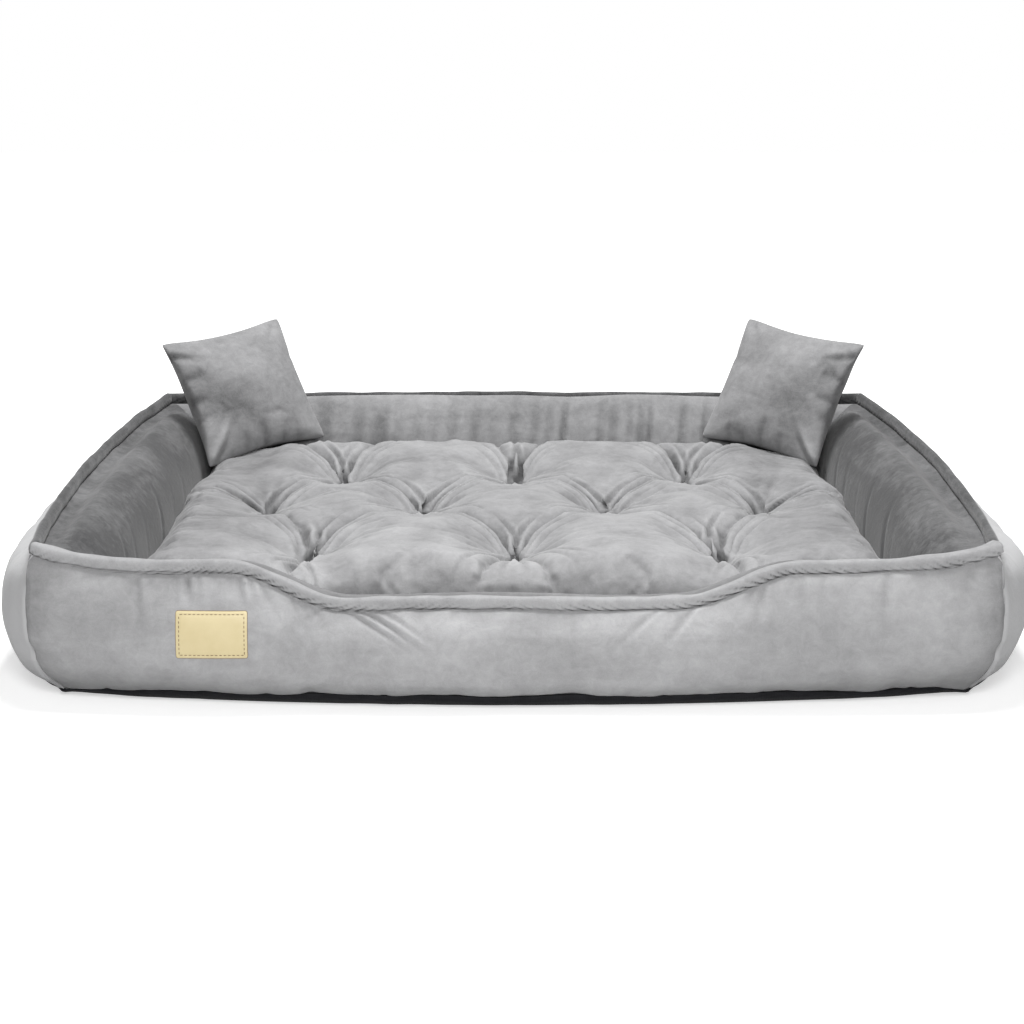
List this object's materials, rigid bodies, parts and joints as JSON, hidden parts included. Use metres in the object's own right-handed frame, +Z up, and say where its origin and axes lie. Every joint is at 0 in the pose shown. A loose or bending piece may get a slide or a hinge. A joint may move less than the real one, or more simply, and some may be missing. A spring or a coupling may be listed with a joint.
{
  "type": "dog sofa bed",
  "caption": "Low soft-walled pet bed with stuffed bolster walls, a step-over dip in the front, a loose tufted mattress, loose corner pillows and zips along the sides.",
  "frame": {"origin": "middle of the underside, on the floor", "axes": "+X to the right seen from the front, -Y towards the front with the dip, +Z up"},
  "size_m": [1.151, 0.9535, 0.2914],
  "materials": {
    "velvet": "light grey short-pile velvet",
    "nonslip": "black non-slip cloth",
    "lining": "plain grey lining",
    "fibre": "white fibre filling",
    "label": "cream leatherette",
    "zip_tape": "woven grey tape",
    "zip_teeth": "grey moulded coil",
    "zip_metal": "satin plated metal",
    "thread": "grey tufting thread"
  },
  "bodies": {
    "shell": {"base_fabric": "nonslip", "base_wadding": "fibre", "floor_panel": "lining", "front_outer_panel": "velvet", "front_inner_panel": "velvet", "front_filling": "fibre", "front_rim_welt": "velvet", "back_outer_panel": "velvet", "back_inner_panel": "velvet", "back_filling": "fibre", "back_rim_welt": "velvet", "left_outer_panel": "velvet", "left_lower_band": "velvet", "left_inner_panel": "velvet", "left_filling": "fibre", "left_rim_welt": "velvet", "right_outer_panel": "velvet", "right_lower_band": "velvet", "right_inner_panel": "velvet", "right_filling": "fibre", "right_rim_welt": "velvet", "left_zip_tapes": "zip_tape", "left_zip_teeth": "zip_teeth", "right_zip_tapes": "zip_tape", "right_zip_teeth": "zip_teeth", "label_patch": "label"},
    "mattress": {"mattress_top_panel": "velvet", "mattress_bottom_panel": "velvet", "mattress_filling": "fibre", "mattress_tuft_ties": "thread"},
    "left_pillow": {"left_pillow_front_panel": "velvet", "left_pillow_back_panel": "velvet", "left_pillow_filling": "fibre"},
    "right_pillow": {"right_pillow_front_panel": "velvet", "right_pillow_back_panel": "velvet", "right_pillow_filling": "fibre"},
    "left_slider": {"left_zip_slider": "zip_metal"},
    "right_slider": {"right_zip_slider": "zip_metal"},
    "left_pull": {"left_zip_pull": "zip_metal"},
    "right_pull": {"right_zip_pull": "zip_metal"}
  },
  "joints": [
    {"name": "mattress_lift", "type": "slide", "parent": "shell", "child": "mattress", "axis": [0, 0, 1], "range_m": [0, 0.3]},
    {"name": "left_pillow_lift", "type": "slide", "parent": "mattress", "child": "left_pillow", "axis": [0, 0, 1], "range_m": [0, 0.25]},
    {"name": "right_pillow_lift", "type": "slide", "parent": "mattress", "child": "right_pillow", "axis": [0, 0, 1], "range_m": [0, 0.25]},
    {"name": "left_zip_slide", "type": "slide", "parent": "shell", "child": "left_slider", "axis": [0, 1, 0], "range_m": [0, 0.611]},
    {"name": "right_zip_slide", "type": "slide", "parent": "shell", "child": "right_slider", "axis": [0, 1, 0], "range_m": [0, 0.611]},
    {"name": "left_pull_swing", "type": "hinge", "parent": "left_slider", "child": "left_pull", "pos_m": [-0.56942, -0.3055, 0.04421], "axis": [-0.309, 0, 0.9511], "range_deg": [0, 170]},
    {"name": "right_pull_swing", "type": "hinge", "parent": "right_slider", "child": "right_pull", "pos_m": [0.56942, -0.3055, 0.04421], "axis": [-0.309, 0, -0.9511], "range_deg": [0, 170]}
  ]
}
